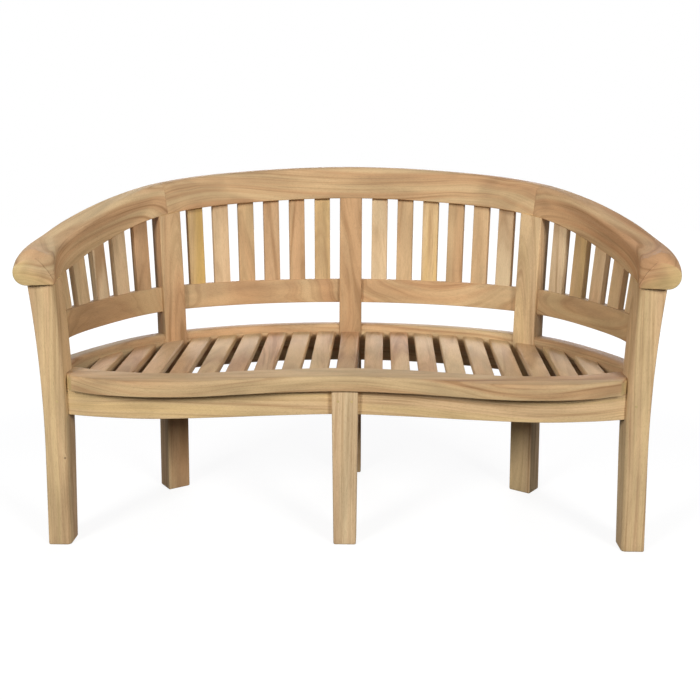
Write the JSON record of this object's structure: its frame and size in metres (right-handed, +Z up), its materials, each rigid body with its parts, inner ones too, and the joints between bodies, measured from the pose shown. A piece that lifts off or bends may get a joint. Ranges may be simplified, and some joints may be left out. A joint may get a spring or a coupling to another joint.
{
  "type": "garden bench",
  "caption": "Curved garden bench with a bowed back of upright slats, thick rounded arms, a fanned slat seat with a waved front edge, and square legs.",
  "frame": {"origin": "on the floor, in the middle of the bench's length and depth", "axes": "+X to the right as seen from the front, +Y to the rear, +Z up"},
  "size_m": [1.625, 0.7068, 0.921],
  "materials": {
    "teak": "sanded teak, unoiled"
  },
  "bodies": {
    "root": {"apron_left": "teak", "apron_right": "teak", "arm_left": "teak", "arm_right": "teak", "back_slat_01": "teak", "back_slat_02": "teak", "back_slat_03": "teak", "back_slat_04": "teak", "back_slat_05": "teak", "back_slat_06": "teak", "back_slat_07": "teak", "back_slat_08": "teak", "back_slat_09": "teak", "back_slat_10": "teak", "back_slat_11": "teak", "back_slat_12": "teak", "front_leg_centre": "teak", "front_leg_left": "teak", "front_leg_right": "teak", "lower_back_rail_left": "teak", "lower_back_rail_right": "teak", "lower_side_rail_left": "teak", "lower_side_rail_right": "teak", "rear_post_centre": "teak", "rear_post_left": "teak", "rear_post_right": "teak", "seat_back_rail_left": "teak", "seat_back_rail_right": "teak", "seat_front_rail": "teak", "seat_side_rail_left": "teak", "seat_side_rail_right": "teak", "seat_slat_01": "teak", "seat_slat_02": "teak", "seat_slat_03": "teak", "seat_slat_04": "teak", "seat_slat_05": "teak", "seat_slat_06": "teak", "seat_slat_07": "teak", "seat_slat_08": "teak", "seat_slat_09": "teak", "seat_slat_10": "teak", "seat_slat_11": "teak", "seat_slat_12": "teak", "seat_slat_13": "teak", "seat_slat_14": "teak", "seat_slat_15": "teak", "seat_slat_16": "teak", "seat_slat_17": "teak", "seat_slat_18": "teak", "seat_slat_19": "teak", "seat_stretcher": "teak", "side_slat_left_1": "teak", "side_slat_left_2": "teak", "side_slat_left_3": "teak", "side_slat_left_4": "teak", "side_slat_right_1": "teak", "side_slat_right_2": "teak", "side_slat_right_3": "teak", "side_slat_right_4": "teak", "top_rail": "teak"}
  },
  "joints": []
}
